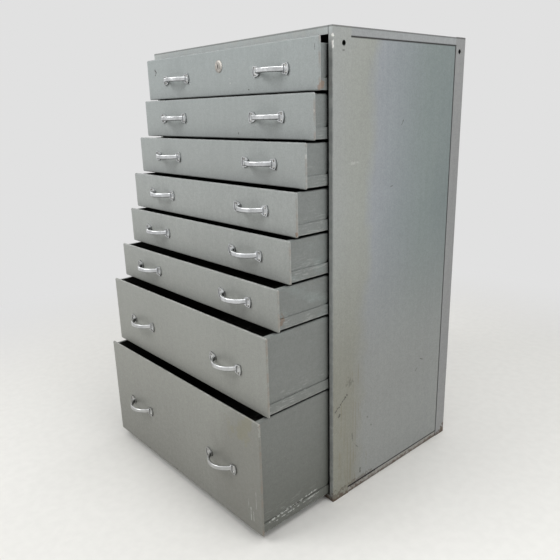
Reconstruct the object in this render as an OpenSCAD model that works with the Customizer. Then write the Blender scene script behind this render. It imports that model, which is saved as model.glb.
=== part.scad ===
// Steel parts cabinet: eight full-width drawers that slide on runners in a folded-sheet carcass.
// Millimetres. The origin is the middle of the underside, +Z is up, and the drawers open towards -Y.
// Drawer 1 is at the top. The drawers are drawn pulled out, each a little further than the one above.

/* [Carcass] */
// Overall width, over the side panels
cabinet_w = 810; // [700:5:950]
// Overall depth of the carcass, without the drawer fronts
cabinet_d = 570; // [520:5:700]
// Thickness of the carcass sheet
carcass_sheet = 1.5; // [1:0.1:2]
// Outer radius of the carcass's bends
carcass_bend = 3; // [2.25:0.25:4]
// Radius of the carcass's edge between top and back
rear_edge_r = 6; // [4:0.5:7]
// Height of the rail above the top drawer
top_rail_h = 20; // [16:1:30]
// Height of the rail below the bottom drawer
base_rail_h = 16.5; // [12:0.5:24]
// Width of the stiles beside the drawers
stile_w = 15.5; // [14:0.5:19]
// Depth of the lip folded back from each stile
stile_lip = 20; // [12:1:30]
// Depth of the side panel's plain strip behind the stile
front_strip = 66; // [50:1:90]
// Depth of the back panel's returns, seen on the sides
back_return = 50; // [46:1:70]
// Height of the top panel's flanges, seen on the sides
top_flange = 22; // [18:1:30]
// Height of the base tray's flanges, seen on the sides
base_flange = 20; // [16:1:28]
// Width of the seams round the side panels
seam = 3; // [1:0.5:4]
// Width of the ledges that back the seams, to each side of a seam
seam_ledge = 12; // [8:1:16]

/* [Link holes] */
// Diameter of the holes that link two cabinets side by side
link_hole_d = 13; // [8:0.5:14]
// Front link hole, from the front of the carcass
link_hole_front = 39; // [32:1:50]
// Rear link hole, from the back of the carcass
link_hole_back = 30; // [20:1:30]
// Link holes, below the top of the carcass
link_hole_drop = 39; // [30:1:60]

/* [Drawers] */
// Thickness of the drawer sheet
drawer_sheet = 1.2; // [0.8:0.1:1.6]
// Height of a shallow drawer's front
small_front_h = 111; // [105:1:150]
// Height of the medium drawer's front
medium_front_h = 217; // [170:1:260]
// Height of the deep drawer's front
deep_front_h = 337; // [260:1:400]
// Extra height of the top drawer's front
top_front_extra = 12; // [6:1:20]
// Gap between one front and the next, and to the rails
front_gap = 3.5; // [2:0.5:6]
// Distance from the carcass's side to the edge of a front
front_reveal = 10; // [7:0.5:12]
// Depth of the folded edge round a front
front_depth = 5; // [4:0.25:8]
// Outer radius of the bend round a front
front_bend = 3.5; // [2.5:0.25:3.75]
// Corner radius of a front
front_corner_r = 4.5; // [4:0.5:12]
// Gap between a shut front and the stiles
shut_gap = 1; // [0.5:0.5:3]
// Clearance between a tray and the stiles
tray_side_gap = 7.5; // [5:0.25:9]
// Outer radius of a tray's bends
tray_bend = 4; // [2:0.25:6]
// Width of the rims and flanges folded inwards round a tray
tray_hem = 11; // [7:1:16]
// Height of a front's top edge above its tray's rim
rim_drop = 3; // [1.5:0.25:6]
// Gap between the sheets of a tray, and between a tray and its rails
sheet_seat = 0.1; // [0.05:0.05:0.3]
// Room behind a shut tray
rear_room = 29; // [15:1:60]
// Clearance between a tray and the folded edge of its front
tray_seat = 0.3; // [0.2:0.1:0.6]

/* [Runners] */
// Height of the rail along each side of a tray
rail_h = 28; // [20:1:36]
// Thickness of a tray's rail
rail_t = 3; // [2.5:0.25:3.5]
// Distance from a drawer's face to the start of its rails
rail_start = 10; // [8:1:30]
// Sheet thickness of the runners
runner_sheet = 2; // [1.5:0.25:2.5]
// Outer radius of the runners' bends
runner_bend = 3; // [2.75:0.25:4]
// Clearance below and above a rail
running_gap = 0.3; // [0.2:0.1:0.6]
// Reach of a runner's ledge under the tray
ledge_reach = 13; // [6:1:20]
// Clearance between a runner's top lip and the tray's side
lip_gap = 1.5; // [1:0.25:2]
// Space between a tray's rail and a runner's web
web_gap = 8.5; // [7:0.25:9]
// Drawer travel from shut to the stop
drawer_travel = 400; // [300:10:420]
// Length of the stop lugs and tabs along the travel
stop_t = 3; // [2:0.5:5]
// Clearance of a stop at full travel and of a tab beside the web
stop_gap = 1; // [0.5:0.25:1.5]
// Clearance between a tray's rail and a stop lug
lug_gap = 3; // [1:0.5:4]
// Height of the stop tabs
stop_h = 12; // [8:1:16]
// Room behind the shut trays' rear end on a runner
runner_over = 6; // [2:1:15]
// Width of the uprights that carry the runners
upright_w = 46; // [36:1:60]
// Width of the uprights' raised crown
upright_crown = 28; // [20:1:34]
// Middle of the front uprights, from the front of the carcass
upright_front = 100; // [80:1:140]
// Middle of the rear uprights, from the back of the carcass
upright_back = 100; // [85:1:140]

/* [Handles] */
// Distance between the middles of a drawer's two handles
handle_spread = 444; // [300:2:560]
// Height of a handle above a shallow front's lower edge
handle_rise_small = 56; // [40:1:70]
// Height of a handle above the medium front's lower edge
handle_rise_medium = 100; // [60:1:150]
// Height of a handle above the deep front's lower edge
handle_rise_deep = 155; // [100:1:240]
// Length over the feet
handle_l = 140; // [130:1:180]
// Distance between the middles of the bow where it meets the feet
bow_span = 98; // [92:1:102]
// Reach of the bow in front of the drawer
bow_reach = 36; // [28:1:46]
// Thickness of the grip
grip_t = 7; // [6.5:0.5:9]
// Height of the grip
grip_h = 13; // [10:0.5:16]
// Edge radius of the grip
grip_r = 3; // [1:0.25:3]
// Height of a foot's outer end
foot_h = 30; // [28:1:36]
// Height of a foot at its shoulder
foot_shoulder_h = 24; // [23:0.5:27]
// Height of a foot's narrow inner end
foot_neck_h = 15; // [14:0.5:18]
// Length of a foot
foot_l = 27; // [26:0.5:30]
// Length of a foot from its shoulder to its outer end
foot_wide_l = 20; // [18:0.5:21]
// Radius of a foot's outer end
foot_end_r = 24; // [20:1:40]
// Thickness of a foot
foot_t = 4.5; // [3.5:0.25:6]
// Width of the raised rim round a foot's panel
foot_rim = 2; // [1:0.25:2.25]
// Depth of a foot's panel below its rim
foot_panel = 1.5; // [0.5:0.1:2]

/* [Handle screws] */
// Diameter of a screw's shank
screw_d = 3.8; // [3:0.1:4.5]
// Clearance round a screw's shank
screw_gap = 0.2; // [0.1:0.05:0.4]
// Diameter of a screw's head
screw_head_d = 6; // [5.5:0.25:7]
// Height of a screw's head
screw_head_h = 1.8; // [1:0.1:2.5]
// Distance between the two screws of a foot
screw_pitch = 16; // [14:0.5:17]
// Length of a screw behind the tray's wall
screw_end = 3; // [1:0.5:6]
// Width of a screw's slot
screw_slot = 0.9; // [0.6:0.1:1.2]

/* [Lock] */
// Height of the lock above the top drawer front's lower edge
lock_rise = 79.5; // [70:0.5:82]
// Diameter of the lock's bezel
bezel_d = 33; // [28:0.5:34]
// Thickness of the bezel's rim
bezel_t = 1.5; // [1:0.25:3]
// Height of the bezel's cone above its rim
bezel_cone = 1.25; // [1:0.25:4]
// Diameter of the bezel's flat face round the plug
bezel_face_d = 24; // [20:0.5:27]
// Diameter of the lock's barrel
barrel_d = 19.6; // [18.5:0.1:22]
// Clearance round the barrel
barrel_gap = 0.2; // [0.1:0.05:0.4]
// Diameter of the turning plug
plug_d = 16; // [13:0.5:16.5]
// Running clearance round the plug
plug_gap = 0.05; // [0.03:0.01:0.1]
// Height of the plug above the bezel
plug_proud = 0.6; // [0.2:0.1:1.5]
// Width of the key slot
key_slot_w = 2; // [1.5:0.25:3]
// Height of the key slot
key_slot_h = 8; // [5:0.5:9]
// Depth of the key slot
key_slot_depth = 6; // [4:0.5:6.5]
// Width across the corners of the lock's nut
nut_d = 27; // [25:0.5:29]
// Thickness of the lock's nut
nut_t = 4; // [2:0.25:4.5]
// Thickness of the cam
cam_t = 2.5; // [2:0.25:4]
// Width of the cam
cam_w = 14; // [10:0.5:18]
// Clearance of the cam behind the top rail and the barrel
cam_gap = 1; // [0.5:0.25:2]
// Overlap of the turned cam behind the top rail
cam_overlap = 8; // [4:0.5:12]
// Diameter of the cam screw's head
cam_screw_head_d = 8; // [6:0.25:9]
// Height of the cam screw's head
cam_screw_head_h = 2.5; // [1.5:0.25:4]
// Length of the cam screw in the plug
cam_screw_l = 3.5; // [2:0.25:4]

/* [Drawn openings] */
// Drawer 1 is pulled out by
opening_1 = 29; // [0:1:300]
// Drawer 2 is pulled out by
opening_2 = 48; // [0:1:300]
// Drawer 3 is pulled out by
opening_3 = 78; // [0:1:300]
// Drawer 4 is pulled out by
opening_4 = 111; // [0:1:300]
// Drawer 5 is pulled out by
opening_5 = 137; // [0:1:300]
// Drawer 6 is pulled out by
opening_6 = 179; // [0:1:300]
// Drawer 7 is pulled out by
opening_7 = 221; // [0:1:300]
// Drawer 8 is pulled out by
opening_8 = 254; // [0:1:300]

/* [Hidden] */
$fn = 64;
opening = [opening_1, opening_2, opening_3, opening_4, opening_5, opening_6, opening_7, opening_8];
drawers = [0:len(opening) - 1];
small_drawers = [0:len(opening) - 3];
tray_front_h = concat([for (i = small_drawers) small_front_h], [medium_front_h, deep_front_h]);
handle_rise = concat([for (i = small_drawers) handle_rise_small], [handle_rise_medium, handle_rise_deep]);
sides = [-1, 1];

// Heights, counted up from the floor
function sum_below(i) = i + 1 > len(opening) - 1 ? 0 : tray_front_h[i + 1] + front_gap + sum_below(i + 1);
function front_z(i) = base_rail_h + front_gap + sum_below(i);
function front_h(i) = tray_front_h[i] + (i == 0 ? top_front_extra : 0);
cabinet_h = front_z(0) + front_h(0) + front_gap + top_rail_h;

// Carcass planes
half_w = cabinet_w / 2;
inner_half = half_w - carcass_sheet;
front_y = -cabinet_d / 2;
back_y = cabinet_d / 2;
strip_y = front_y + front_strip;
return_y = back_y - back_return;
stile_in = half_w - stile_w;
field_bottom = base_flange + seam;
field_top = cabinet_h - top_flange - seam;
field_back = return_y - seam;
link_z = cabinet_h - link_hole_drop;

// Drawer planes: each drawer is drawn with its face at y = 0 and its front's lower edge at z = 0
front_w = cabinet_w - 2 * front_reveal;
shut_stand = front_depth + shut_gap;
tray_half = stile_in - tray_side_gap;
tray_end = shut_stand + cabinet_d - rear_room;
tray_z = drawer_sheet + tray_seat;
wall_y = drawer_sheet;
tray_floor = tray_z + 2 * drawer_sheet + sheet_seat;
function tray_top(i) = tray_front_h[i] - rim_drop;
function face_y(i) = front_y - shut_stand - opening[i];

// Runner planes
rail_in = tray_half + sheet_seat;
rail_out = rail_in + rail_t;
web_in = rail_out + web_gap;
web_out = web_in + runner_sheet;
lip_in = tray_half + lip_gap;
tab_out = web_in - stop_gap;
lug_in = rail_out + lug_gap;
runner_y = front_y + stile_lip + shut_gap;
runner_l = front_y - shut_stand + tray_end + runner_over - runner_y;
tab_y = runner_y + stop_t + stop_gap + drawer_travel - front_y + shut_stand;

// Handle: the bow is an arc through the two feet
bow_sag = bow_reach - grip_t / 2;
bow_r = (pow(bow_span / 2, 2) + pow(bow_sag, 2)) / (2 * bow_sag);
foot_in = handle_l / 2 - foot_l;
foot_shoulder = handle_l / 2 - foot_wide_l;
screw_x = (handle_l - foot_wide_l) / 2;
screw_hole_d = screw_d + 2 * screw_gap;

// Lock: the cam lies just behind the top rail when the drawer is shut
cam_seat = shut_stand + carcass_sheet + cam_gap;
barrel_l = cam_seat - cam_gap;
cam_l = top_front_extra + tray_front_h[0] - lock_rise + front_gap + cam_overlap;

enamel = [0.60, 0.62, 0.60];
inside_grey = [0.45, 0.46, 0.45];
cast_metal = [0.78, 0.77, 0.74];
nickel = [0.66, 0.62, 0.55];
steel = [0.55, 0.55, 0.55];

carcass_nodes = [
    "left_side_panel", "right_side_panel", "top_panel", "back_panel", "base_tray",
    "left_uprights", "right_uprights", "left_runners", "right_runners"
];
drawer_pieces = ["front", "tray", "left_handle", "right_handle", "handle_screws"];
lock_nodes = ["lock_housing", "lock_nut", "lock_plug", "lock_cam", "lock_cam_screw"];
function drawer_node(i, piece) = str("drawer_", i + 1, "_", piece);

// A box given by its lowest and highest corners
module span(low, high) {
    translate(low) cube(high - low);
}

// A box and its mirror image in the cabinet's middle plane
module both_sides(low, high) {
    span(low, high);
    mirror([1, 0, 0]) span(low, high);
}

// Extrudes a section along the depth, its x across and its y up
module along_y(low, high) {
    translate([0, high, 0]) rotate([90, 0, 0]) linear_extrude(high - low) children();
}

// Extrudes a section along the width, its x along the depth and its y up
module along_x(low, high) {
    translate([low, 0, 0]) rotate([90, 0, 90]) linear_extrude(high - low) children();
}

// A rectangle given by its lowest and highest corners
module area(low, high) {
    translate(low) square(high - low);
}

// A rectangle with round corners, given by its lowest and highest corners
module round_area(low, high, r) {
    area([low.x + r, low.y], [high.x - r, high.y]);
    area([low.x, low.y + r], [high.x, high.y - r]);
    for (x = [low.x + r, high.x - r], y = [low.y + r, high.y - r])
        translate([x, y]) circle(r);
}

// A sheet bent round a rectangle, given by its outer corners, its outer bend radius and its thickness
module bent_ring(low, high, r, t) {
    difference() {
        round_area(low, high, r);
        round_area(low + [t, t], high - [t, t], r - t);
    }
}

// Section of what a round edge takes away, counted from the middle of its radius
module edge_cut(r) {
    difference() {
        square(2 * r);
        circle(r);
    }
}

// Link hole through one skin of the right side
module link_hole(y) {
    translate([inner_half - carcass_sheet, y, link_z])
        rotate([0, 90, 0])
            cylinder(h = 3 * carcass_sheet, d = link_hole_d);
}

// Section of the right stile, bent round into the lip inside and the skin outside
module stile_section() {
    intersection() {
        bent_ring([stile_in, front_y], [half_w, back_y], carcass_bend, carcass_sheet);
        area([stile_in, front_y], [half_w, front_y + stile_lip]);
    }
    area([inner_half, front_y + stile_lip], [half_w, strip_y]);
}

// What the round edges take away at the top of the right stile and of the strip behind it
module strip_edges() {
    edge_z = cabinet_h - carcass_bend;
    along_y(front_y - carcass_bend, strip_y)
        translate([half_w - carcass_bend, edge_z]) edge_cut(carcass_bend);
    along_x(stile_in, half_w + carcass_bend)
        translate([front_y + carcass_bend, edge_z]) mirror([1, 0]) edge_cut(carcass_bend);
}

// Right side panel: skin, stile with its lip, and the ledges behind the seams
module side_panel() {
    ledge_x = inner_half - carcass_sheet;
    difference() {
        union() {
            linear_extrude(cabinet_h) stile_section();
            span([inner_half, front_y + stile_lip, field_bottom], [half_w, field_back, field_top]);
            span(
                [ledge_x, strip_y - seam_ledge, field_top - seam_ledge],
                [inner_half, field_back, field_top + seam + seam_ledge]
            );
            span(
                [ledge_x, strip_y - seam_ledge, field_bottom - seam - seam_ledge],
                [inner_half, field_back, field_bottom + seam_ledge]
            );
            span(
                [ledge_x, field_back - seam_ledge, field_bottom - seam - seam_ledge],
                [inner_half, return_y + seam_ledge, field_top + seam + seam_ledge]
            );
        }
        for (z = [0, cabinet_h])
            span(
                [stile_in - carcass_sheet, front_y + carcass_sheet, z - carcass_sheet],
                [inner_half, strip_y, z + carcass_sheet]
            );
        link_hole(front_y + link_hole_front);
        strip_edges();
    }
}

module right_side_panel() {
    color(enamel) side_panel();
}

module left_side_panel() {
    color(enamel) mirror([1, 0, 0]) side_panel();
}

// Top and base are alike: a sheet bent into a front rail and side flanges, with a flange at the rear
module cross_pan(rail, flange) {
    bend_x = half_w - carcass_bend;
    bend_y = front_y + carcass_bend;
    rear_y = back_y - carcass_sheet;
    span([-inner_half, bend_y, 0], [inner_half, strip_y, carcass_sheet]);
    span([-bend_x, bend_y, 0], [bend_x, rear_y, carcass_sheet]);
    span([-inner_half, return_y, 0], [inner_half, back_y - carcass_bend, carcass_sheet]);
    span([-bend_x, rear_y - carcass_sheet, 0], [bend_x, rear_y, flange]);
    along_x(-stile_in, stile_in)
        intersection() {
            bent_ring([front_y, 0], [back_y, cabinet_h], carcass_bend, carcass_sheet);
            area([front_y, 0], [strip_y, rail]);
        }
    for (side = sides)
        mirror([side < 0 ? 1 : 0, 0, 0])
            along_y(strip_y, return_y)
                intersection() {
                    bent_ring([-half_w, 0], [half_w, cabinet_h], carcass_bend, carcass_sheet);
                    area([stile_in, 0], [half_w, flange]);
                }
}

// What the round edge between top and back takes away
module rear_edge() {
    along_x(-cabinet_w, cabinet_w)
        translate([back_y - rear_edge_r, cabinet_h - rear_edge_r]) edge_cut(rear_edge_r);
}

module top_panel() {
    color(enamel)
        difference() {
            translate([0, 0, cabinet_h]) mirror([0, 0, 1]) cross_pan(top_rail_h, top_flange);
            rear_edge();
            strip_edges();
            mirror([1, 0, 0]) strip_edges();
        }
}

module base_tray() {
    color(enamel) cross_pan(base_rail_h, base_flange);
}

// Back sheet with a return on each side
module back_panel() {
    color(enamel)
        difference() {
            linear_extrude(cabinet_h)
                intersection() {
                    bent_ring([-half_w, front_y], [half_w, back_y], carcass_bend, carcass_sheet);
                    area([-half_w, return_y], [half_w, back_y]);
                }
            link_hole(back_y - link_hole_back);
            mirror([1, 0, 0]) link_hole(back_y - link_hole_back);
            rear_edge();
        }
}

// Hat section of an upright, from the side panel's inner face to the runners
module hat_section() {
    flange = (upright_w - upright_crown) / 2;
    translate([web_out, -upright_crown / 2]) square([carcass_sheet, upright_crown]);
    for (side = sides)
        translate([0, side * (upright_crown - carcass_sheet) / 2]) {
            translate([web_out, -carcass_sheet / 2]) square([inner_half - web_out, carcass_sheet]);
            translate([inner_half - carcass_sheet, side > 0 ? 0 : -flange])
                square([carcass_sheet, flange]);
        }
}

module uprights() {
    low = field_bottom + seam_ledge + seam;
    high = field_top - seam_ledge - seam;
    for (y = [front_y + upright_front, back_y - upright_back])
        translate([0, y, low]) linear_extrude(high - low) hat_section();
}

module right_uprights() {
    color(steel) uprights();
}

module left_uprights() {
    color(steel) mirror([1, 0, 0]) uprights();
}

// Section of a runner: ledge under the tray, web on the uprights and lip over the rail
module runner_section() {
    low = -running_gap - runner_sheet;
    lip_z = rail_h + running_gap;
    ledge_in = tray_half - ledge_reach;
    intersection() {
        bent_ring([0, low], [web_out, lip_z + runner_sheet], runner_bend, runner_sheet);
        union() {
            area([ledge_in, low], [web_out, rail_h / 2]);
            area([lip_in, rail_h / 2], [web_out, lip_z + runner_sheet]);
        }
    }
}

// One runner, with its stop lug at the front
module runner() {
    along_y(0, runner_l) runner_section();
    span([lug_in, 0, (rail_h - stop_h) / 2], [web_out, stop_t, (rail_h + stop_h) / 2]);
}

module runners() {
    for (i = drawers)
        translate([0, runner_y, front_z(i) + tray_z]) runner();
}

module right_runners() {
    color(steel) runners();
}

module left_runners() {
    color(steel) mirror([1, 0, 0]) runners();
}

// Puts a drawer's piece in its place
module in_drawer(i) {
    translate([0, face_y(i), front_z(i)]) children();
}

// Section through a front's edge: x counts out from the middle of a corner, y back from the face
module edge_section() {
    intersection() {
        bent_ring([-front_corner_r, 0], [front_corner_r, 3 * front_depth], front_bend, drawer_sheet);
        area([0, 0], [front_corner_r, front_depth]);
    }
}

// Front pan that stands on z = 0 with its face at y = 0, its edge bent back all round
module front_pan(h) {
    x = front_w / 2 - front_corner_r;
    z = h / 2 - front_corner_r;
    translate([0, 0, h / 2])
        rotate([-90, 0, 0]) {
            span([-x, -z, 0], [x, z, drawer_sheet]);
            for (turn = [0:3]) {
                middle = turn % 2 == 0 ? [x, z] : [z, x];
                rotate(90 * turn)
                    translate(middle) {
                        rotate_extrude(angle = 90) edge_section();
                        rotate([90, 0, 0]) linear_extrude(2 * middle.y) edge_section();
                    }
            }
        }
}

// Places for one handle's screws, on the face of the drawer
module at_screws() {
    for (x = sides * screw_x, z = sides * screw_pitch / 2)
        translate([x, 0, z]) rotate([90, 0, 0]) children();
}

module at_handle(i, side) {
    translate([side * handle_spread / 2, 0, handle_rise[i]]) children();
}

// Holes through the front's sheet and the tray's wall
module front_holes(i) {
    reach = 6 * drawer_sheet;
    for (side = sides)
        at_handle(i, side) at_screws() cylinder(h = reach, d = screw_hole_d, center = true);
    if (i == 0)
        translate([0, 0, lock_rise])
            rotate([90, 0, 0])
                cylinder(h = 2 * reach, d = barrel_d + 2 * barrel_gap, center = true);
}

module drawer_front(i) {
    color(enamel)
        in_drawer(i)
            difference() {
                front_pan(front_h(i));
                front_holes(i);
            }
}

// Section of a tray's right side: a wall bent inwards into a rim at its top and a flange at its foot
module tray_side_section(i) {
    low = [-tray_half, tray_z];
    high = [tray_half, tray_top(i)];
    intersection() {
        bent_ring(low, high, tray_bend, drawer_sheet);
        area([tray_half - tray_hem, low.y], high);
    }
}

// Section of a tray's rear: a wall bent forwards into a rim that lies under the sides' rims
module tray_rear_section(i) {
    high = [tray_end, tray_top(i) - drawer_sheet - sheet_seat];
    intersection() {
        bent_ring(-high, high, tray_bend, drawer_sheet);
        area([tray_end - tray_hem, tray_floor + sheet_seat], high);
    }
}

// Tray: two sides, a rear and an inner front round a bottom sheet that lies on the sides' flanges
module tray_panels(i) {
    bend_x = tray_half - tray_bend;
    inner_y = wall_y + drawer_sheet;
    bend_z = front_bend + tray_seat;
    for (side = sides)
        mirror([side < 0 ? 1 : 0, 0, 0])
            along_y(front_bend, tray_end) tray_side_section(i);
    along_x(-bend_x, bend_x) tray_rear_section(i);
    span([-bend_x, inner_y + sheet_seat, tray_floor - drawer_sheet], [bend_x, tray_end, tray_floor]);
    difference() {
        span([-tray_half, wall_y, bend_z], [tray_half, inner_y, tray_front_h[i] - bend_z]);
        front_holes(i);
    }
}

// Rails with their stop tabs, one on each side of the tray
module tray_rails() {
    tab_z = tray_z + (rail_h - stop_h) / 2;
    both_sides([rail_in, rail_start, tray_z], [rail_out, tray_end, tray_z + rail_h]);
    both_sides([rail_in, tab_y, tab_z], [tab_out, tab_y + stop_t, tab_z + stop_h]);
}

module drawer_tray(i) {
    color(inside_grey)
        in_drawer(i) {
            tray_panels(i);
            tray_rails();
        }
}

// Section of the grip
module grip_section() {
    translate([bow_r, 0]) {
        square([grip_t - 2 * grip_r, grip_h], center = true);
        square([grip_t, grip_h - 2 * grip_r], center = true);
        for (x = sides * (grip_t / 2 - grip_r), y = sides * (grip_h / 2 - grip_r))
            translate([x, y]) circle(grip_r);
    }
}

// Outline of the right foot's fan, from a given x out to its round end and a given distance inside its edge
module fan_outline(from, inset) {
    end = handle_l / 2;
    shoulder = foot_shoulder_h / 2 - inset;
    high = foot_h / 2 - inset;
    intersection() {
        polygon([[from, -shoulder], [end, -high], [end, high], [from, shoulder]]);
        translate([end - foot_end_r, 0]) circle(foot_end_r - inset);
    }
}

// Right foot: a neck that fans out to a round end, with a panel sunk into the fan
module handle_foot() {
    neck = foot_neck_h / 2;
    shoulder = foot_shoulder_h / 2;
    rotate([90, 0, 0])
        difference() {
            linear_extrude(foot_t) {
                polygon([[foot_in, -neck], [foot_shoulder, -shoulder], [foot_shoulder, shoulder], [foot_in, neck]]);
                fan_outline(foot_shoulder, 0);
            }
            translate([0, 0, foot_t - foot_panel])
                linear_extrude(foot_t) fan_outline(foot_shoulder + foot_rim, foot_rim);
        }
}

// Cast bow handle, with its back on the plane y = 0
module bow_handle() {
    difference() {
        union() {
            intersection() {
                translate([0, bow_r - bow_sag, 0]) rotate_extrude() grip_section();
                span([-handle_l, -2 * bow_reach, -grip_h], [handle_l, -foot_t / 2, grip_h]);
            }
            for (side = sides)
                mirror([side < 0 ? 1 : 0, 0, 0]) handle_foot();
        }
        at_screws() cylinder(h = 3 * foot_t, d = screw_hole_d, center = true);
    }
}

module drawer_handle(i, side) {
    color(cast_metal) in_drawer(i) at_handle(i, side) bow_handle();
}

// Slotted screw: its head sits on the foot's panel and its shank runs through front and tray
module handle_screw() {
    seat = foot_t - foot_panel;
    end = 2 * drawer_sheet + screw_end;
    difference() {
        union() {
            translate([0, 0, -end]) cylinder(h = end + seat, d = screw_d);
            translate([0, 0, seat]) cylinder(h = screw_head_h, d1 = screw_head_d, d2 = screw_d);
        }
        translate([0, 0, seat + screw_head_h])
            cube([2 * screw_head_d, screw_slot, screw_head_h], center = true);
    }
}

module handle_screws(i) {
    color(steel)
        in_drawer(i)
            for (side = sides)
                at_handle(i, side) at_screws() handle_screw();
}

// Lock axis: z runs out of the front of the top drawer
module at_lock() {
    in_drawer(0) translate([0, 0, lock_rise]) rotate([90, 0, 0]) children();
}

module lock_housing() {
    face = bezel_t + bezel_cone;
    color(nickel)
        at_lock()
            difference() {
                union() {
                    translate([0, 0, -barrel_l]) cylinder(h = barrel_l + bezel_t, d = barrel_d);
                    cylinder(h = bezel_t, d = bezel_d);
                    translate([0, 0, bezel_t]) cylinder(h = bezel_cone, d1 = bezel_d, d2 = bezel_face_d);
                }
                translate([0, 0, -2 * barrel_l])
                    cylinder(h = 2 * barrel_l + 2 * face, d = plug_d + 2 * plug_gap);
            }
}

module lock_nut() {
    color(steel)
        at_lock()
            translate([0, 0, -2 * drawer_sheet - nut_t])
                difference() {
                    cylinder(h = nut_t, d = nut_d, $fn = 6);
                    translate([0, 0, -nut_t]) cylinder(h = 3 * nut_t, d = barrel_d + 2 * barrel_gap);
                }
}

// Plug with its key slot in front and the cam screw's hole behind
module lock_plug() {
    face = bezel_t + bezel_cone + plug_proud;
    color(nickel)
        at_lock()
            difference() {
                translate([0, 0, -cam_seat]) cylinder(h = cam_seat + face, d = plug_d);
                translate([0, 0, face]) cube([key_slot_w, key_slot_h, 2 * key_slot_depth], center = true);
                translate([0, 0, -cam_seat])
                    cylinder(h = 2 * (cam_screw_l + screw_gap), d = screw_hole_d, center = true);
            }
}

// Cam, drawn unlocked, pointing to the right
module lock_cam() {
    color(steel)
        at_lock()
            translate([0, 0, -cam_seat - cam_t])
                linear_extrude(cam_t)
                    difference() {
                        union() {
                            circle(d = plug_d);
                            translate([0, -cam_w / 2]) square([cam_l - cam_w / 2, cam_w]);
                            translate([cam_l - cam_w / 2, 0]) circle(d = cam_w);
                        }
                        circle(d = screw_hole_d);
                    }
}

module lock_cam_screw() {
    color(steel)
        at_lock()
            translate([0, 0, -cam_seat - cam_t]) {
                cylinder(h = cam_t + cam_screw_l, d = screw_d);
                translate([0, 0, -cam_screw_head_h]) cylinder(h = cam_screw_head_h, d = cam_screw_head_d);
            }
}

left_side_panel();
right_side_panel();
top_panel();
back_panel();
base_tray();
left_uprights();
right_uprights();
left_runners();
right_runners();
for (i = drawers) {
    drawer_front(i);
    drawer_tray(i);
    drawer_handle(i, -1);
    drawer_handle(i, 1);
    handle_screws(i);
}
lock_housing();
lock_nut();
lock_plug();
lock_cam();
lock_cam_screw();
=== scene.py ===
"""Looks of the steel parts cabinet: enamel, bare metal, floor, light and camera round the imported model."""
import math

import bpy
from mathutils import Matrix, Vector


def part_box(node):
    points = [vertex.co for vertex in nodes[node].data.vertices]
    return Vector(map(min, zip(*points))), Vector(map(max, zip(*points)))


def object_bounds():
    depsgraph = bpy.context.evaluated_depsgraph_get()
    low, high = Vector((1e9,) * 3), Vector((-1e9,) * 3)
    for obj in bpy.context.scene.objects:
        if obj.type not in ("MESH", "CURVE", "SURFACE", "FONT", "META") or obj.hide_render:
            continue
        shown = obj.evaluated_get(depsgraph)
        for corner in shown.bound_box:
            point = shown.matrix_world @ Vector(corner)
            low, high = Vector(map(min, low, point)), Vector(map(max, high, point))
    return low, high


IMAGE_SIDE = 560
DRAWERS = range(1, 9)
MM = 0.001
SHELTER_RAYS = 16

# Places of the sockets of vector and colour mix nodes, whose names are not unique or not always there
VECTOR_SCALE = 3
VECTOR_RESULT, NUMBER_RESULT = 0, 1
MIX_A, MIX_B, MIX_RESULT = 6, 7, 2

# Noise as a factor, and the torn edges of marks
SWING_LIMITS = (0.25, 0.75)
MARK_DETAIL = 4.0
MARK_TEAR = (0.3, 0.7)
MARK_CORE = 0.6
MARK_RAGGED = 0.9
MARK_GRAIN = 140.0

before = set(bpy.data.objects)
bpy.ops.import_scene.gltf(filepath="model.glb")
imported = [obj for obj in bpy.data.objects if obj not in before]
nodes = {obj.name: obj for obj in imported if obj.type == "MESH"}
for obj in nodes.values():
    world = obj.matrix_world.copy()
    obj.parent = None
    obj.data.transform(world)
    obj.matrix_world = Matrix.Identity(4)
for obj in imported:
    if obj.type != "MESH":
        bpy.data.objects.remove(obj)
cad_low, cad_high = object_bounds()
scene = bpy.context.scene
scene.view_settings.view_transform = "Standard"


def srgb(red, green, blue):
    """A colour given as 0 to 255 on the screen, as linear light with alpha."""
    def linear(value):
        value /= 255
        return value / 12.92 if value <= 0.04045 else ((value + 0.055) / 1.055) ** 2.4
    return linear(red), linear(green), linear(blue), 1.0


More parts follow.
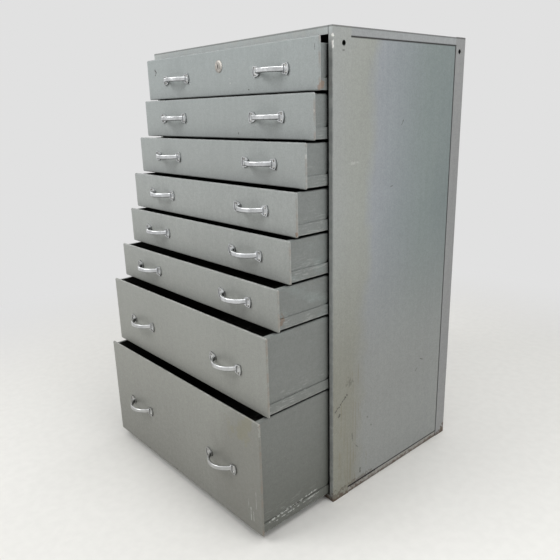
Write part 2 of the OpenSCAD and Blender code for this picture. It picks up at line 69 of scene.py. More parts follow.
class Graph:
    """One material's nodes. Most methods add what they name, and return an output socket."""

    def __init__(self, name):
        self.material = bpy.data.materials.new(name)
        self.material.use_nodes = True
        self.tree = self.material.node_tree
        self.tree.nodes.clear()
        self.output = self.node("ShaderNodeOutputMaterial")
        self.shader = self.node("ShaderNodeBsdfPrincipled")
        self.tree.links.new(self.shader.outputs["BSDF"], self.output.inputs["Surface"])
        coordinates = self.node("ShaderNodeTexCoord")
        self.place = coordinates.outputs["Object"]
        self.x, self.y, self.z = self.parts(self.place)
        self.facing_x, self.facing_y, self.facing_z = self.parts(coordinates.outputs["Normal"])
        self.depth_share = self.parts(coordinates.outputs["Generated"])[1]

    def node(self, kind, **settings):
        made = self.tree.nodes.new(kind)
        for key, value in settings.items():
            setattr(made, key, value)
        return made

    def feed(self, socket, value):
        """Links a socket to an output, or sets its value."""
        if isinstance(value, bpy.types.NodeSocket):
            self.tree.links.new(value, socket)
        else:
            socket.default_value = value

    def set(self, **values):
        """Feeds the shader's sockets, named with underscores for spaces."""
        for key, value in values.items():
            self.feed(self.shader.inputs[key.replace("_", " ")], value)

    def parts(self, vector):
        made = self.node("ShaderNodeSeparateXYZ")
        self.feed(made.inputs[0], vector)
        return made.outputs

    def math(self, operation, a, b=0.0):
        made = self.node("ShaderNodeMath", operation=operation)
        self.feed(made.inputs[0], a)
        self.feed(made.inputs[1], b)
        return made.outputs[0]

    def size(self, value):
        return self.math("ABSOLUTE", value)

    def vector(self, operation, a, b=(0, 0, 0), scale=1.0):
        made = self.node("ShaderNodeVectorMath", operation=operation)
        self.feed(made.inputs[0], a)
        self.feed(made.inputs[1], b)
        self.feed(made.inputs[VECTOR_SCALE], scale)
        gives_number = operation in ("LENGTH", "DISTANCE", "DOT_PRODUCT")
        return made.outputs[NUMBER_RESULT if gives_number else VECTOR_RESULT]

    def fade(self, value, start, end, low=0.0, high=1.0):
        """Runs smoothly from low where value is start to high where it is end."""
        made = self.node("ShaderNodeMapRange", interpolation_type="SMOOTHSTEP")
        for socket, given in zip(made.inputs, (value, start, end, low, high)):
            self.feed(socket, given)
        return made.outputs[0]

    def noise(self, scale, detail, stretch=(1, 1, 1), shift=(0, 0, 0)):
        """Noise of about so many grains a metre, drawn out along an axis where stretch is below 1."""
        made = self.node("ShaderNodeTexNoise")
        moved = self.vector("ADD", self.place, shift)
        self.feed(made.inputs["Vector"], self.vector("MULTIPLY", moved, stretch))
        self.feed(made.inputs["Scale"], scale)
        self.feed(made.inputs["Detail"], detail)
        return made.outputs["Fac"]

    def patches(self, scale, detail, start, end, low=0.0, high=1.0, **shape):
        """Noise turned into patches: low where the noise is start, and high where it is end."""
        return self.fade(self.noise(scale, detail, **shape), start, end, low, high)

    def tone(self, scale, detail, amount, **shape):
        """Noise as a factor that swings round 1 by amount."""
        return self.patches(scale, detail, *SWING_LIMITS, 1 - amount, 1 + amount, **shape)

    def ramp(self, value, stops):
        """Colours along a value, given as (value, colour) in rising order."""
        low, high = stops[0][0], stops[-1][0]
        share = self.math("DIVIDE", self.math("SUBTRACT", value, low), high - low)
        made = self.node("ShaderNodeValToRGB")
        elements = made.color_ramp.elements
        while len(elements) < len(stops):
            elements.new(0.5)
        for element, (at, colour) in zip(elements, stops):
            element.position = (at - low) / (high - low)
            element.color = colour
        self.feed(made.inputs[0], share)
        return made.outputs[0]

    def mix(self, factor, a, b):
        made = self.node("ShaderNodeMix", data_type="RGBA")
        self.feed(made.inputs[0], factor)
        self.feed(made.inputs[MIX_A], a)
        self.feed(made.inputs[MIX_B], b)
        return made.outputs[MIX_RESULT]

    def product(self, *values):
        result = values[0]
        for value in values[1:]:
            result = self.math("MULTIPLY", result, value)
        return result

    def most(self, *values):
        result = values[0]
        for value in values[1:]:
            result = self.math("MAXIMUM", result, value)
        return result

    def near(self, coordinate, value, width):
        """1 on the plane where a coordinate has that value, 0 at width from it."""
        return self.fade(self.size(self.math("SUBTRACT", coordinate, value)), width, 0.0)

    def torn(self, away, seed, ragged, grain):
        """1 well inside a mark whose edge is where away is 1, with that edge torn by noise."""
        tear = self.patches(grain, MARK_DETAIL, *MARK_TEAR, -ragged / 2, ragged / 2, shift=seed)
        return self.fade(self.math("ADD", away, tear), 1.0, MARK_CORE)

    def blotch(self, centre, size, ragged=MARK_RAGGED, grain=MARK_GRAIN):
        """1 within a ragged ellipsoid, given in millimetres."""
        made = self.node("ShaderNodeMapping", vector_type="TEXTURE")
        self.feed(made.inputs["Vector"], self.place)
        self.feed(made.inputs["Location"], Vector(centre) * MM)
        self.feed(made.inputs["Scale"], Vector(size) * MM)
        return self.torn(self.vector("LENGTH", made.outputs[0]), Vector(centre) * MM, ragged, grain)

    def scratch(self, start, end, width, ragged=MARK_RAGGED, grain=MARK_GRAIN):
        """1 along a ragged line from start to end, given in millimetres. Width is its half-width."""
        first = Vector(start) * MM
        run = (Vector(end) - Vector(start)) * MM
        offset = self.vector("SUBTRACT", self.place, first)
        share = self.math("DIVIDE", self.vector("DOT_PRODUCT", offset, run), run.length_squared)
        share = self.math("MINIMUM", self.math("MAXIMUM", share, 0.0), 1.0)
        away = self.vector("DISTANCE", offset, self.vector("SCALE", run, scale=share))
        return self.torn(self.math("DIVIDE", away, width * MM), first, ragged, grain)

    def shelter(self, reach):
        """1 where a place is open, down to 0 where surfaces within reach close it in."""
        made = self.node("ShaderNodeAmbientOcclusion", samples=SHELTER_RAYS)
        self.feed(made.inputs["Distance"], reach)
        return made.outputs["AO"]

    def bump(self, scale, detail, depth, normal=None):
        """A normal that noise of that depth tilts, on top of a given one."""
        made = self.node("ShaderNodeBump")
        self.feed(made.inputs["Height"], self.noise(scale, detail))
        self.feed(made.inputs["Distance"], depth)
        if normal is not None:
            self.feed(made.inputs["Normal"], normal)
        return made.outputs[0]


# Camera, where the fit to the photograph's corners puts it
CAMERA_PLACE = Vector((1.41145, -1.35823, 1.11314))
CAMERA_YAW = math.radians(-48.56)
CAMERA_PITCH = math.radians(-16.285)
CAMERA_ROLL = math.radians(-1.572)
FOCAL_PIXELS = 584.05
SENSOR_WIDTH = 36.0


def make_camera():
    data = bpy.data.cameras.new("camera")
    data.sensor_fit = "HORIZONTAL"
    data.sensor_width = SENSOR_WIDTH
    data.lens = FOCAL_PIXELS * SENSOR_WIDTH / IMAGE_SIDE
    ahead = Vector((
        math.sin(CAMERA_YAW) * math.cos(CAMERA_PITCH),
        math.cos(CAMERA_YAW) * math.cos(CAMERA_PITCH),
        math.sin(CAMERA_PITCH),
    ))
    level = Vector((math.cos(CAMERA_YAW), -math.sin(CAMERA_YAW), 0))
    upright = level.cross(ahead)
    right = level * math.cos(CAMERA_ROLL) + upright * math.sin(CAMERA_ROLL)
    up = upright * math.cos(CAMERA_ROLL) - level * math.sin(CAMERA_ROLL)
    turn = Matrix((right, up, -ahead)).transposed().to_4x4()
    camera = bpy.data.objects.new("camera", data)
    camera.matrix_world = Matrix.Translation(CAMERA_PLACE) @ turn
    scene.collection.objects.link(camera)
    scene.camera = camera


# Light and floor
BACKDROP = srgb(225, 225, 225)
FLOOR_COLOUR = srgb(232, 231, 227)
FLOOR_GRAIN = {"scale": 35.0, "detail": 5.0, "amount": 0.02}
FLOOR_ROUGHNESS = 0.7
FLOOR_SIDE = 24.0
FLOOR_FADE = (1.1, 2.3)
WORLD_LIGHT = 0.33
LIGHT_AIM = Vector((0, -0.2, 0.6))
LIGHTS = {
    "key": {"place": (-1.1, -2.8, 3.0), "side": 2.0, "power": 64.0},
    "left": {"place": (-2.8, -0.1, 1.9), "side": 0.8, "power": 8.0},
    "overhead": {"place": (0.7, 0.0, 3.4), "side": 2.6, "power": 56.0},
    "right": {"place": (3.2, 0.3, 2.4), "side": 1.8, "power": 35.0},
    "back": {"place": (-0.5, 3.3, 2.6), "side": 2.0, "power": 20.0},
}


def make_lights():
    for name, light in LIGHTS.items():
        data = bpy.data.lights.new(name, "AREA")
        data.size = light["side"]
        data.energy = light["power"]
        lamp = bpy.data.objects.new(name, data)
        lamp.location = light["place"]
        lamp.rotation_euler = (LIGHT_AIM - lamp.location).to_track_quat("-Z", "Y").to_euler()
        scene.collection.objects.link(lamp)


def seen_directly(tree):
    """1 for rays that show a surface as it is: from the camera, in a reflection or through glass."""
    path = tree.nodes.new("ShaderNodeLightPath")
    total = path.outputs["Is Camera Ray"]
    for name in ("Is Glossy Ray", "Is Transmission Ray"):
        made = tree.nodes.new("ShaderNodeMath")
        made.operation = "MAXIMUM"
        tree.links.new(total, made.inputs[0])
        tree.links.new(path.outputs[name], made.inputs[1])
        total = made.outputs[0]
    return total


def make_world():
    """Even light all round, with a plain backdrop where it is seen directly."""
    world = bpy.data.worlds.new("studio")
    scene.world = world
    world.use_nodes = True
    tree = world.node_tree
    tree.nodes.clear()
    light = tree.nodes.new("ShaderNodeBackground")
    light.inputs["Strength"].default_value = WORLD_LIGHT
    seen = tree.nodes.new("ShaderNodeBackground")
    seen.inputs["Color"].default_value = BACKDROP
    mixed = tree.nodes.new("ShaderNodeMixShader")
    output = tree.nodes.new("ShaderNodeOutputWorld")
    tree.links.new(seen_directly(tree), mixed.inputs[0])
    tree.links.new(light.outputs[0], mixed.inputs[1])
    tree.links.new(seen.outputs[0], mixed.inputs[2])
    tree.links.new(mixed.outputs[0], output.inputs["Surface"])


def make_floor():
    """A plain floor that fades into the backdrop away from the cabinet."""
    half = FLOOR_SIDE / 2
    corners = [(-half, -half, 0), (half, -half, 0), (half, half, 0), (-half, half, 0)]
    mesh = bpy.data.meshes.new("floor")
    mesh.from_pydata(corners, [], [(0, 1, 2, 3)])
    floor = bpy.data.objects.new("floor", mesh)
    scene.collection.objects.link(floor)
    graph = Graph("floor")
    colour = graph.vector("SCALE", FLOOR_COLOUR[:3], scale=graph.tone(**FLOOR_GRAIN))
    graph.set(Base_Color=colour, Roughness=FLOOR_ROUGHNESS)
    far = graph.fade(graph.vector("LENGTH", graph.place), *FLOOR_FADE)
    backdrop = graph.node("ShaderNodeEmission")
    backdrop.inputs["Color"].default_value = BACKDROP
    mixed = graph.node("ShaderNodeMixShader")
    graph.feed(mixed.inputs[0], graph.math("MULTIPLY", far, seen_directly(graph.tree)))
    graph.feed(mixed.inputs[1], graph.shader.outputs[0])
    graph.feed(mixed.inputs[2], backdrop.outputs[0])
    graph.feed(graph.output.inputs["Surface"], mixed.outputs[0])
    mesh.materials.append(graph.material)


# Enamel colours along the height of fronts, trays and stiles, and along the depth of sides, in metres
FRONT_COLOURS = [
    (0.0, srgb(127, 127, 121)), (0.36, srgb(150, 151, 145)), (0.58, srgb(157, 159, 154)),
    (0.9, srgb(166, 170, 168)), (1.3, srgb(161, 168, 168)),
]
TRAY_COLOURS = [(0.0, srgb(96, 98, 92)), (0.45, srgb(125, 128, 125)), (1.3, srgb(134, 139, 138))]
# The stiles' colours are painted light and shade, set against the shadow that the drawers cast on them
STILE_LIGHT_AND_SHADE_COLOURS = [(0.0, srgb(136, 138, 136)), (0.65, srgb(168, 171, 170)), (1.3, srgb(148, 151, 150))]
SIDE_TOP = [
    (-0.285, srgb(160, 163, 161)), (-0.2, srgb(158, 161, 156)), (-0.14, srgb(155, 158, 152)),
    (-0.1, srgb(150, 155, 160)), (-0.02, srgb(140, 147, 150)), (0.12, srgb(127, 137, 136)),
    (0.285, srgb(118, 128, 128)),
]
SIDE_LOW = [
    (-0.285, srgb(138, 138, 127)), (-0.16, srgb(136, 136, 126)), (-0.1, srgb(142, 144, 142)),
    (0.285, srgb(142, 145, 143)),
]
FLANGE_COLOURS = {
    "top_panel": srgb(154, 157, 158),
    "back_panel": srgb(142, 143, 143),
    "base_tray": srgb(152, 150, 145),
}
# The top rail's pale colour is painted light, lifting the shade that the top drawer's front puts on it
RAIL_PAINTED_LIGHT = srgb(184, 190, 189)
# The dark inside of the drawers is painted shade
TRAY_INSIDE_SHADE = srgb(72, 73, 70)

# Colours of wear and dirt, and of painted shade and highlight
# Light edges: worn paint, and partly a painted highlight of the folds
WORN_EDGE_AND_HIGHLIGHT = srgb(190, 192, 188)
BARE = srgb(206, 208, 204)
CHIP = srgb(236, 236, 231)
SMEAR = srgb(150, 162, 160)
SHADE = srgb(116, 115, 108)
STAIN = srgb(118, 106, 78)
OLIVE = srgb(136, 130, 92)
TAN = srgb(150, 122, 102)
BROWN = srgb(128, 94, 66)
RUST = srgb(80, 62, 47)
DARK = srgb(52, 50, 46)
SEAM = srgb(22, 20, 18)
# The near-black of the slits beside the drawers is painted shade
SLIT_SHADE = srgb(12, 12, 12)

# Where the enamel changes: lengths in metres, limits for the way a face looks, and strengths
SIDE_TURN = (0.3, 0.85)
SIDE_SLANT = 0.043
FACING_UP = (0.3, 0.8)
FACING_SIDE = (0.5, 0.85)
# Painted shade on faces that look up, stronger high up
UPWARD_SHADE_HEIGHTS = (0.4, 1.2)
UPWARD_SHADE = (0.85, 0.5)
TRAY_HALF = 0.382
TRAY_SKIN = (0.0002, 0.0008)
RIM_DEPTHS = (0.001, 0.003)
SMEAR_HEIGHT, SMEAR_REACH = 0.68, 0.22
STILE_EDGE = 0.0004
STILE_EDGE_SHADE = (0.0025, 0.001)
STILE_DEPTHS = (0.01, 0.03)
RAIL_DEPTHS = (0.028, 0.021)
TOP_EDGE_SHADE_DEPTHS = (0.006, 0.003)
SEAM_LOW = Vector((0, -0.219, 0.0215))
SEAM_HIGH = Vector((0, 0.2335, 1.2765))
SEAM_DIRT = 0.004
SEAM_DEPTHS = (0.003, 0.002)
SLIT_SHADE_REACH = 0.015
SLIT_SHADE_SHARES = (0.56, 0.38)
RUST_HEIGHTS = (0.024, 0.013)
RUST_FACING = (0.4, 0.9)
RUST_LIMITS = (1.2, 0.1)
RUB_HEIGHTS = (0.085, 0.02)
FRONT_EDGE = 0.0025
TRAY_EDGE = 0.003
CARCASS_EDGE = 0.003
BROWN_EDGE = 0.005
BROWN_STRENGTH = 0.3
RUB_STRENGTH = 0.2

# Noise in the enamel
CLOUDS = {"scale": 2.6, "detail": 2.0, "amount": 0.03}
MOTTLE = {"scale": 260.0, "detail": 4.0, "amount": 0.08}
SPOTS = {"scale": 80.0, "detail": 3.0, "amount": 0.03}
STREAKS = {"scale": 90.0, "detail": 3.0, "amount": 0.02}
UPRIGHT = (1, 1, 0.03)
LENGTHWISE = (1, 0.03, 1)
PEEL = {"scale": 420.0, "detail": 2.0, "depth": 0.00005}
WAVES = {"scale": 5.0, "detail": 1.0, "depth": 0.0015}
SATIN = {"scale": 90.0, "detail": 3.0, "start": 0.3, "end": 0.7, "low": 0.42, "high": 0.54}
EDGE_WEAR_AND_HIGHLIGHT = {"scale": 55.0, "detail": 4.0, "start": 0.42, "end": 0.62, "high": 0.4}
SMEARS = {"scale": 24.0, "detail": 4.0, "start": 0.5, "end": 0.7, "high": 0.35, "stretch": (1, 0.5, 1)}
SIDE_WAVE = {"scale": 9.0, "detail": 3.0, "start": 0.2, "end": 0.8, "low": -0.02, "high": 0.02}
RUST_CREEP = {"scale": 110.0, "detail": 5.0, "start": 0.3, "end": 0.7, "low": -0.006, "high": 0.006}
RUB_STREAKS = {"scale": 240.0, "detail": 4.0, "start": 0.52, "end": 0.62, "stretch": (1, 0.16, 1)}
RUB_PATCHES = {"scale": 22.0, "detail": 3.0, "start": 0.42, "end": 0.58}
BROWN_WEAR = {"scale": 38.0, "detail": 4.0, "start": 0.4, "end": 0.62}
DRIP_RUNS = {"scale": 300.0, "detail": 2.0, "start": 0.57, "end": 0.64, "stretch": (1, 1, 0.015)}
DRIP_PATCH = {"centre": (405, -213, 200), "size": (20, 60, 210), "ragged": 0.8, "grain": 18.0}
DRIP_BASE = 0.06


def enamel(name, paint, edges, marks, streak=UPRIGHT):
    """Worn satin enamel. paint gives its colour, edges the planes along which it is worn pale, partly a
    painted highlight, as (axis, place, width), marks what lies on it and the painted shade of slits as
    (mask, colour, strength), and streak how its faint streaks are drawn out. paint and the masks are
    functions of the graph."""
    graph = Graph(name)
    colour = paint(graph)
    tones = [graph.tone(**tone) for tone in (CLOUDS, MOTTLE, SPOTS)]
    tones.append(graph.tone(**STREAKS, stretch=streak))
    colour = graph.vector("SCALE", colour, scale=graph.product(*tones))
    # Paler along the edges: wear, and partly a painted highlight of the folds
    rubbed_and_lit = graph.most(*[graph.near(getattr(graph, axis), at, width) for axis, at, width in edges])
    colour = graph.mix(graph.product(rubbed_and_lit, graph.patches(**EDGE_WEAR_AND_HIGHLIGHT)), colour, WORN_EDGE_AND_HIGHLIGHT)
    for mask, tint, strength in marks:
        colour = graph.mix(graph.math("MULTIPLY", mask(graph), strength), colour, tint)
    waves = graph.bump(**WAVES, normal=graph.bump(**PEEL))
    graph.set(Base_Color=colour, Normal=waves, Roughness=graph.patches(**SATIN))
    return graph.material


def front_paint(graph):
    """Faces that look up are darker than the rest, and more so high up: painted shade."""
    upward = graph.fade(graph.z, *UPWARD_SHADE_HEIGHTS, *UPWARD_SHADE)
    dull_and_shade = graph.fade(graph.facing_z, *FACING_UP, 1.0, upward)
    return graph.vector("SCALE", graph.ramp(graph.z, FRONT_COLOURS), scale=dull_and_shade)


def tray_paint(rim):
    """The walls are enamelled outside and along the rim's top, and the inside is painted dark as shade."""
    def paint(graph):
        inside = graph.fade(graph.size(graph.x), TRAY_HALF - TRAY_SKIN[0], TRAY_HALF - TRAY_SKIN[1])
        below_rim = graph.fade(graph.z, rim - RIM_DEPTHS[0], rim - RIM_DEPTHS[1])
        smears = graph.product(graph.patches(**SMEARS), graph.near(graph.z, SMEAR_HEIGHT, SMEAR_REACH))
        outside = graph.mix(smears, graph.ramp(graph.z, TRAY_COLOURS), SMEAR)
        return graph.mix(graph.product(inside, below_rim), outside, TRAY_INSIDE_SHADE)
    return paint


def from_top(graph, depths):
    """Runs from 0 at the first of two depths below the cabinet's top to 1 at the second."""
    return graph.fade(graph.z, cad_high.z - depths[0], cad_high.z - depths[1])


def carcass_paint(node):
    """The front faces are like the drawers' fronts, with a pale rail of painted light on top and stiles in
    painted light and shade, black with painted shade along their inner edges, and the sides have colours of
    their own."""
    low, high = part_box("right_side_panel")

    def side_paint(graph):
        slant = graph.math("MULTIPLY", graph.math("SUBTRACT", high.z, graph.z), SIDE_SLANT)
        across = graph.math("ADD", graph.math("ADD", graph.y, slant), graph.patches(**SIDE_WAVE))
        upper = graph.fade(graph.z, *SIDE_TURN)
        return graph.mix(upper, graph.ramp(across, SIDE_LOW), graph.ramp(across, SIDE_TOP))

    def paint(graph):
        side = FLANGE_COLOURS.get(node) or side_paint(graph)
        out = graph.size(graph.x)
        on_stile = graph.fade(out, low.x - STILE_EDGE, low.x)
        on_stile = graph.product(on_stile, from_top(graph, STILE_DEPTHS))
        # A black line of painted shade along the stiles' inner edges, beside the slits
        inner_edge_shade = graph.fade(out, low.x + STILE_EDGE_SHADE[0], low.x + STILE_EDGE_SHADE[1])
        # The pale band on the top rail is painted light
        front = graph.mix(from_top(graph, RAIL_DEPTHS), front_paint(graph), RAIL_PAINTED_LIGHT)
        front = graph.mix(on_stile, front, graph.ramp(graph.z, STILE_LIGHT_AND_SHADE_COLOURS))
        front = graph.mix(graph.product(on_stile, inner_edge_shade), front, SLIT_SHADE)
        return graph.mix(graph.fade(graph.size(graph.facing_x), *FACING_SIDE), front, side)
    return paint


def slit_shade(graph):
    """Painted shade: black where other surfaces close a place in, such as the slits beside the drawers."""
    return graph.fade(graph.shelter(SLIT_SHADE_REACH), *SLIT_SHADE_SHARES)


def rusty_foot(graph):
    """Rust that creeps up from the floor, higher on the front faces than on the sides."""
    creep = graph.math("ADD", graph.z, graph.patches(**RUST_CREEP))
    height = graph.fade(graph.size(graph.facing_x), *RUST_FACING, *RUST_HEIGHTS)
    return graph.fade(graph.math("DIVIDE", creep, height), *RUST_LIMITS)


def seams(graph):
    """The dark grooves round the side panels' fields, with a little dirt on the skin beside them."""
    low, high = SEAM_LOW, SEAM_HIGH
    behind_front = graph.fade(graph.y, low.y - SEAM_DIRT, low.y)
    below_top = graph.fade(graph.z, high.z + SEAM_DIRT, high.z)
    upright = graph.product(graph.near(graph.y, high.y, SEAM_DIRT), below_top)
    level = graph.most(graph.near(graph.z, low.z, SEAM_DIRT), graph.near(graph.z, high.z, SEAM_DIRT))
    level = graph.product(level, graph.fade(graph.y, high.y + SEAM_DIRT, high.y))
    outside = graph.fade(graph.size(graph.x), cad_high.x - SEAM_DEPTHS[0], cad_high.x - SEAM_DEPTHS[1])
    return graph.product(graph.most(upright, level), behind_front, outside)


def top_edge_shade(graph):
    """The dark line along the cabinet's topmost edge: painted shade of the top's bend."""
    return from_top(graph, TOP_EDGE_SHADE_DEPTHS)


def rubs(low):
    """Short light scuffs along the lower part of a tray, whose underside is at low."""
    def mask(graph):
        worn = graph.patches(**RUB_PATCHES, shift=(0, low, 0))
        heights = graph.fade(graph.z, low + RUB_HEIGHTS[0], low + RUB_HEIGHTS[1])
        return graph.product(graph.patches(**RUB_STREAKS), worn, heights)
    return mask


def brown_ends(reach):
    """Brown wear down the upright edges of a front that reaches so far to each side."""
    def mask(graph):
        at_edge = graph.near(graph.size(graph.x), reach, BROWN_EDGE)
        return graph.product(at_edge, graph.patches(**BROWN_WEAR))
    return mask


def drips(graph):
    """Yellow runs down the lower front strip of a side."""
    runs = graph.math("ADD", graph.patches(**DRIP_RUNS), DRIP_BASE)
    return graph.product(graph.blotch(**DRIP_PATCH), runs)


def blotch(centre, size, **shape):
    return lambda graph: graph.blotch(centre, size, **shape)


def scratch(start, end, width, **shape):
    return lambda graph: graph.scratch(start, end, width, **shape)


# Marks on single pieces as (mask, colour, strength), placed in millimetres
MARKS = {
    "drawer_1_front": [
        (scratch((-347, -320, 1244), (-341, -320, 1237), 2.6), DARK, 0.85),
        (scratch((-341, -320, 1236), (-347, -320, 1228), 2.6), DARK, 0.85),
        (scratch((380, -320, 1246), (380, -320, 1259), 1.2), DARK, 0.7),
        (blotch((129, -320, 1166), (4, 3, 2.5)), DARK, 0.8),
        (blotch((46, -320, 1198), (2.5, 3, 3)), BARE, 0.6),
        (blotch((49, -320, 1186), (2.5, 3, 2.5)), BARE, 0.6),
        (blotch((397, -317, 1162), (7, 7, 13), ragged=1.3, grain=90.0), TAN, 0.6),
    ],
    "drawer_2_front": [
        (blotch((101, -339, 1053), (2.5, 3, 3)), DARK, 0.8),
        (blotch((395, -338, 1107), (3, 3, 6)), BARE, 0.6),
    ],
    "drawer_3_front": [(blotch((395, -368, 1004), (3, 3, 6)), BARE, 0.6)],
    "drawer_4_front": [(blotch((394, -401, 820), (4, 4, 8), ragged=1.2), BROWN, 0.6)],
    "drawer_8_front": [
        (blotch((405, -545, 190), (260, 10, 300), ragged=0.3, grain=6.0), SHADE, 0.4),
        (blotch((322, -545, 308), (66, 8, 44), ragged=1.0, grain=20.0), OLIVE, 0.3),
        (blotch((396, -545, 340), (5, 5, 24), ragged=1.5), BARE, 0.28),
        (scratch((338, -545, 112), (338, -545, 84), 1.2, ragged=1.3), BARE, 0.3),
        (scratch((347, -545, 88), (347, -545, 48), 1.6, ragged=1.3), BARE, 0.45),
        (scratch((358, -545, 80), (358, -545, 50), 1.4, ragged=1.3), BARE, 0.35),
        (scratch((371, -545, 150), (371, -545, 96), 1.2, ragged=1.4), BARE, 0.25),
        (blotch((-197, -545, 23), (5, 5, 5)), DARK, 0.7),
        (blotch((-29, -545, 23), (5, 5, 5)), DARK, 0.7),
    ],
    "drawer_1_tray": [(blotch((384, -304, 1168), (6, 12, 11)), TAN, 0.6)],
    "drawer_2_tray": [(scratch((383, -316, 1053), (383, -300, 1053), 1.5), DARK, 0.6)],
    "drawer_3_tray": [(scratch((383, -340, 946), (383, -316, 942), 1.3, ragged=1.5), BARE, 0.5)],
    "drawer_6_tray": [
        (blotch((384, -452, 612), (6, 9, 15), ragged=1.4, grain=90.0), BROWN, 0.5),
        (scratch((384, -452, 622), (384, -430, 632), 1.3, ragged=1.4), BARE, 0.4),
    ],
    "drawer_8_tray": [
        (scratch((383.5, -514, 47), (383.5, -320, 56), 2.0, ragged=2.0, grain=90.0), BARE, 0.75),
        (scratch((384, -500, 37), (384, -320, 46), 1.8, ragged=2.0, grain=90.0), BARE, 0.6),
    ],
    "right_side_panel": [
        (scratch((405, -11, 1064), (405, -3, 1078), 1.3), DARK, 0.8),
        (scratch((405, -54, 900), (405, -45, 902), 1.5), DARK, 0.8),
        (blotch((405, -206, 976), (5, 17, 4)), BARE, 0.35),
        (scratch((405, -225, 330), (405, -276, 290), 2.6, ragged=2.0, grain=220.0), DARK, 0.8),
        (scratch((405, -258, 276), (405, -263, 270), 3.2, ragged=1.6, grain=220.0), DARK, 0.85),
        (blotch((405, -214, 362), (5, 12, 14), ragged=1.7), DARK, 0.35),
        (scratch((405, 124, 329), (405, 136, 324), 1.5), DARK, 0.7),
        (scratch((405, 98, 293), (405, 109, 301), 1.5), DARK, 0.6),
        (scratch((405, -166, 60), (405, -166, 46), 2.2), DARK, 0.9),
        (scratch((405, -204, 196), (405, -202, 170), 1.4, ragged=1.6), DARK, 0.6),
        (scratch((405, -194, 156), (405, -178, 138), 1.4, ragged=1.6), DARK, 0.55),
        (blotch((405, -118, 188), (4, 4, 4)), DARK, 0.5),
        (blotch((405, -135, 222), (4, 5, 3)), DARK, 0.45),
        (scratch((405, -139, 106), (405, -138, 62), 1.2, ragged=1.7), STAIN, 0.5),
        (blotch((404, -284, 1277), (4, 4, 5.5), ragged=0.6), CHIP, 1.0),
        (blotch((404, -284, 1258), (4, 3.5, 10), ragged=0.6), CHIP, 1.0),
        (blotch((405, -247, 1245), (5, 6, 2.5)), DARK, 0.5),
        (blotch((405, -165, 28), (5, 56, 6), ragged=1.8, grain=160.0), RUST, 0.5),
        (blotch((405, -278, 2), (12, 44, 26), ragged=1.4, grain=90.0), RUST, 0.6),
        (scratch((404, -219, 21.5), (404, -96, 21.5), 3.4, ragged=0.7), SEAM, 0.9),
        (drips, STAIN, 0.5),
    ],
    "left_side_panel": [
        (scratch((-405, -120, 800), (-405, -66, 764), 1.3, ragged=1.4), DARK, 0.6),
        (scratch((-405, 70, 420), (-405, 150, 446), 1.2, ragged=1.6), BARE, 0.45),
        (scratch((-405, 96, 1010), (-405, 104, 958), 1.2, ragged=1.4), BARE, 0.4),
        (blotch((-404, -284, 640), (4, 4, 8)), CHIP, 0.9),
        (blotch((-404, -284, 1268), (4, 4, 9)), CHIP, 0.9),
    ],
    "base_tray": [
        (blotch((405, -165, 22), (5, 60, 9), ragged=1.6, grain=160.0), RUST, 0.6),
        (scratch((404, -219, 20), (404, -96, 20), 3.0, ragged=0.7), SEAM, 0.8),
        (scratch((405, 150, 0), (405, 285, 0), 12, ragged=1.2, grain=60.0), RUST, 0.7),
    ],
    "top_panel": [
        (scratch((-210, -40, 1300), (-70, 60, 1300), 1.1, ragged=1.8), BARE, 0.4),
        (scratch((120, -150, 1300), (260, -118, 1300), 1.0, ragged=1.7), BARE, 0.4),
        (scratch((-300, 150, 1300), (-246, 30, 1300), 1.1, ragged=1.8), DARK, 0.4),
    ],
    "back_panel": [
        (blotch((405, 280, 6), (8, 26, 26), grain=90.0), RUST, 0.9),
        (scratch((-210, 285, 720), (-150, 285, 560), 1.3, ragged=1.7), BARE, 0.4),
        (scratch((170, 285, 985), (250, 285, 950), 1.2, ragged=1.6), DARK, 0.5),
    ],
}
# Painted shade of the slits, laid on every front and tray
SLIT_SHADE_MARK = (slit_shade, SLIT_SHADE, 1.0)
# Rust and seams are the cabinet's own; the dark line along the top is painted shade
AGEING_AND_EDGE_SHADE = [(rusty_foot, RUST, 0.9), (top_edge_shade, DARK, 0.6), (seams, SEAM, 1.0)]
CARCASS = ("left_side_panel", "right_side_panel", "top_panel", "base_tray", "back_panel")


def paint(node, material):
    nodes[node].data.materials.clear()
    nodes[node].data.materials.append(material)


def paint_drawers():
    for number in DRAWERS:
        front = f"drawer_{number}_front"
        low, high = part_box(front)
        edges = [("z", low.z, FRONT_EDGE), ("z", high.z, FRONT_EDGE)]
        marks = MARKS.get(front, []) + [(brown_ends(high.x), TAN, BROWN_STRENGTH), SLIT_SHADE_MARK]
        paint(front, enamel(front, front_paint, edges, marks))
        tray = f"drawer_{number}_tray"
        low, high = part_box(tray)
        edges = [("z", low.z, TRAY_EDGE)]
        marks = MARKS.get(tray, []) + [(rubs(low.z), BARE, RUB_STRENGTH), SLIT_SHADE_MARK]
        paint(tray, enamel(tray, tray_paint(high.z), edges, marks, LENGTHWISE))


def paint_carcass():
    front_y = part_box("right_side_panel")[0].y
    edges = [("y", front_y, CARCASS_EDGE)]
    for node in CARCASS:
        paint(node, enamel(node, carcass_paint(node), edges, MARKS.get(node, []) + AGEING_AND_EDGE_SHADE))


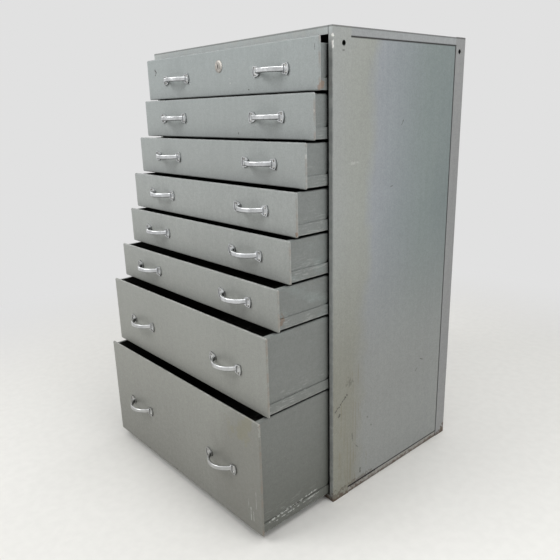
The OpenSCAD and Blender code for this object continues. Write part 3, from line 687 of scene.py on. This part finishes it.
# Bare metal: colours of its clean and tarnished patches, roughness, grains a metre and depth of pits
METALS = {
    "cast_aluminium": {
        "clean": srgb(222, 224, 225), "dull_and_shade": srgb(196, 198, 199), "roughness": (0.27, 0.36),
        "grain": 60.0, "pits": 0.00002,
    },
    "nickel": {
        "clean": srgb(186, 182, 176), "dull_and_shade": srgb(156, 152, 146), "roughness": (0.4, 0.55),
        "grain": 120.0, "pits": 0.00006,
    },
    "plated_steel": {
        "clean": srgb(206, 206, 202), "dull_and_shade": srgb(150, 148, 142), "roughness": (0.34, 0.5),
        "grain": 120.0, "pits": 0.00006,
    },
    # The near-black runners and uprights are painted shade, standing in for the dark inside of the cabinet
    "runner_steel": {
        "clean": srgb(52, 51, 49), "dull_and_shade": srgb(34, 33, 31), "roughness": (0.42, 0.58),
        "grain": 120.0, "pits": 0.00006,
    },
}
TARNISH = {"detail": 4.0, "start": 0.35, "end": 0.7}
GLOSS = {"detail": 3.0, "start": 0.3, "end": 0.7}
GLOSS_FINENESS = 1.7
PIT_FINENESS = 5
PIT_DETAIL = 2.0
# Handles turn greyer towards the bottom
LOWER_HANDLE_GREY = srgb(164, 164, 162)
LOWER_HANDLE_HEIGHTS = {"start": 0.75, "end": 0.2, "high": 0.6}
# Grime and painted shade for corners, sunk panels and faces that look down or back
GRIME_AND_SHADE = srgb(48, 48, 48)
CORNER_SHADE_REACH = 0.005
CORNER_SHADE = {"start": 0.75, "end": 0.4}
SUNK_SHADE = {"start": 0.885, "end": 0.9, "high": 0.08}
UNDER_SHADE = {"start": 0.15, "end": -0.7, "high": 0.8}
BEHIND_SHADE = {"start": 0.1, "end": 0.8, "high": 0.8}
GRIME_AND_SHADE_PATCHES = {"scale": 160.0, "detail": 3.0, "start": 0.2, "end": 0.6, "low": 0.6}
# The dark key slot is painted shade
KEY_SLOT_SHADE = srgb(24, 22, 20)
KEY_SLOT_SHADE_REACH = Vector((0.004, 0, 0.009))


def metal(name):
    """Metal with tarnished patches, uneven gloss and fine pits."""
    look = METALS[name]
    grain = look["grain"]
    low, high = look["roughness"]
    graph = Graph(name)
    graph.set(
        Base_Color=graph.mix(graph.patches(grain, **TARNISH), look["clean"], look["dull_and_shade"]),
        Metallic=1.0,
        Roughness=graph.patches(grain * GLOSS_FINENESS, **GLOSS, low=low, high=high),
        Normal=graph.bump(grain * PIT_FINENESS, PIT_DETAIL, look["pits"]),
    )
    return graph


def soil_and_shade(graph, mask, colour):
    """Puts a colour over the graph's own where the mask is 1."""
    clean = graph.shader.inputs["Base Color"].links[0].from_socket
    graph.set(Base_Color=graph.mix(mask, clean, colour))


def cast_aluminium():
    """Greyer low down, and darker in corners, sunk panels and faces that look down or back: grime and
    painted shade.
    """
    graph = metal("cast_aluminium")
    soil_and_shade(graph, graph.fade(graph.z, **LOWER_HANDLE_HEIGHTS), LOWER_HANDLE_GREY)
    corners = graph.fade(graph.shelter(CORNER_SHADE_REACH), **CORNER_SHADE)
    sunk = graph.fade(graph.depth_share, **SUNK_SHADE)
    under = graph.fade(graph.facing_z, **UNDER_SHADE)
    behind = graph.fade(graph.facing_y, **BEHIND_SHADE)
    # Darker in corners, sunk panels and on faces that look down or back: grime and painted shade
    grime_and_shade_mask = graph.most(corners, sunk, under, behind)
    soil_and_shade(graph, graph.product(grime_and_shade_mask, graph.patches(**GRIME_AND_SHADE_PATCHES)), GRIME_AND_SHADE)
    return graph.material


def lock_metal():
    """Aged nickel plate, painted dark round the key slot as the slot's shade."""
    graph = metal("nickel")
    low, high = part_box("lock_plug")
    middle = (low + high) / 2
    across = graph.near(graph.x, middle.x, KEY_SLOT_SHADE_REACH.x)
    along = graph.near(graph.z, middle.z, KEY_SLOT_SHADE_REACH.z)
    soil_and_shade(graph, graph.product(across, along), KEY_SLOT_SHADE)
    return graph.material


def paint_metal():
    cast = cast_aluminium()
    nickel = lock_metal()
    plated = metal("plated_steel").material
    runner = metal("runner_steel").material
    for number in DRAWERS:
        for side in ("left", "right"):
            paint(f"drawer_{number}_{side}_handle", cast)
        paint(f"drawer_{number}_handle_screws", plated)
    for node in ("lock_housing", "lock_plug"):
        paint(node, nickel)
    for node in ("lock_nut", "lock_cam", "lock_cam_screw"):
        paint(node, plated)
    for node in ("left_uprights", "right_uprights", "left_runners", "right_runners"):
        paint(node, runner)


make_camera()
make_lights()
make_world()
make_floor()
paint_drawers()
paint_carcass()
paint_metal()
